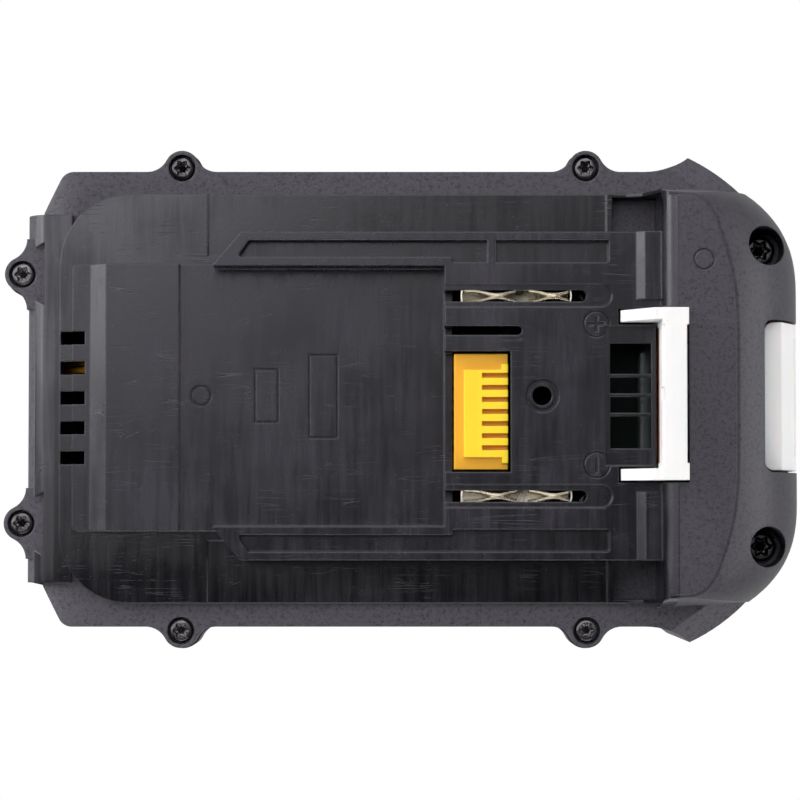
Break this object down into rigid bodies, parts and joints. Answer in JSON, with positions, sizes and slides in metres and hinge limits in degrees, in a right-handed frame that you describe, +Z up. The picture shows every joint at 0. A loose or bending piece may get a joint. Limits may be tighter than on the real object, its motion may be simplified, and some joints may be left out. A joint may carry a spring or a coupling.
{
  "type": "power tool battery pack",
  "caption": "Slide-on power tool battery pack with rails, blade contacts, signal connector, sprung hook latch and rear charge gauge.",
  "frame": {"origin": "on the ground under the middle of the pack", "axes": "+X from the rear wall to the nose and latch, +Y across the pack towards the plus contact, +Z up out of the rails"},
  "size_m": [0.1343, 0.0848, 0.0708],
  "materials": {
    "case_plastic": "charcoal moulded plastic, fine spark texture on the rim and nose",
    "latch_plastic": "white moulded plastic, satin",
    "zinc_screw": "dark zinc plated steel",
    "spring_steel": "drawn spring wire",
    "cell_wrap": "shrink wrap over a steel can",
    "ring_paper": "white fibre ring",
    "frame_plastic": "black moulded plastic",
    "foam": "closed cell foam",
    "nickel": "bright nickel strip",
    "insulator_paper": "pressed fibre sheet",
    "board_green": "solder resist over glass fibre",
    "chip_black": "moulded epoxy",
    "chip_tan": "ceramic chip bodies",
    "contact_metal": "tin plated spring brass",
    "connector_yellow": "yellow moulded nylon",
    "light_lens": "clear moulded plastic",
    "button_grey": "dark grey moulded plastic",
    "lead_yellow": "insulated wire"
  },
  "bodies": {
    "pack": {"board_screws": "zinc_screw", "cell_01": "cell_wrap", "cell_02": "cell_wrap", "cell_03": "cell_wrap", "cell_04": "cell_wrap", "cell_05": "cell_wrap", "cell_06": "cell_wrap", "cell_07": "cell_wrap", "cell_08": "cell_wrap", "cell_09": "cell_wrap", "cell_10": "cell_wrap", "cell_frame_left": "frame_plastic", "cell_frame_right": "frame_plastic", "cell_rings": "ring_paper", "circuit_board": "board_green", "control_chips": "chip_black", "current_shunt": "nickel", "foam_pads": "foam", "gauge_board": "board_green", "gauge_leads": "lead_yellow", "gauge_lens": "light_lens", "gauge_lights": "light_lens", "gauge_switch": "chip_black", "latch_springs": "spring_steel", "lower_case": "case_plastic", "negative_strip": "nickel", "negative_terminal": "contact_metal", "nose_screws": "zinc_screw", "positive_strip": "nickel", "positive_terminal": "contact_metal", "power_transistors": "chip_black", "rim_screws": "zinc_screw", "series_link_1": "nickel", "series_link_2": "nickel", "series_link_3": "nickel", "series_link_4": "nickel", "side_insulator_left": "insulator_paper", "side_insulator_right": "insulator_paper", "signal_connector": "connector_yellow", "signal_pins": "contact_metal", "small_parts": "chip_tan", "temperature_sensor": "chip_black", "upper_case": "case_plastic"},
    "latch": {"release_latch": "latch_plastic"},
    "gauge_key": {"gauge_button": "button_grey"}
  },
  "joints": [
    {"name": "latch_slide", "type": "slide", "parent": "pack", "child": "latch", "axis": [0, 0, -1], "range_m": [0, 0.0055], "stiffness_N_per_m": 900, "springref_m": -0.004, "deforming": ["latch_springs"]},
    {"name": "gauge_press", "type": "slide", "parent": "pack", "child": "gauge_key", "axis": [1, 0, 0], "range_m": [0, 0.0008], "stiffness_N_per_m": 1500, "springref_m": -0.0004}
  ]
}
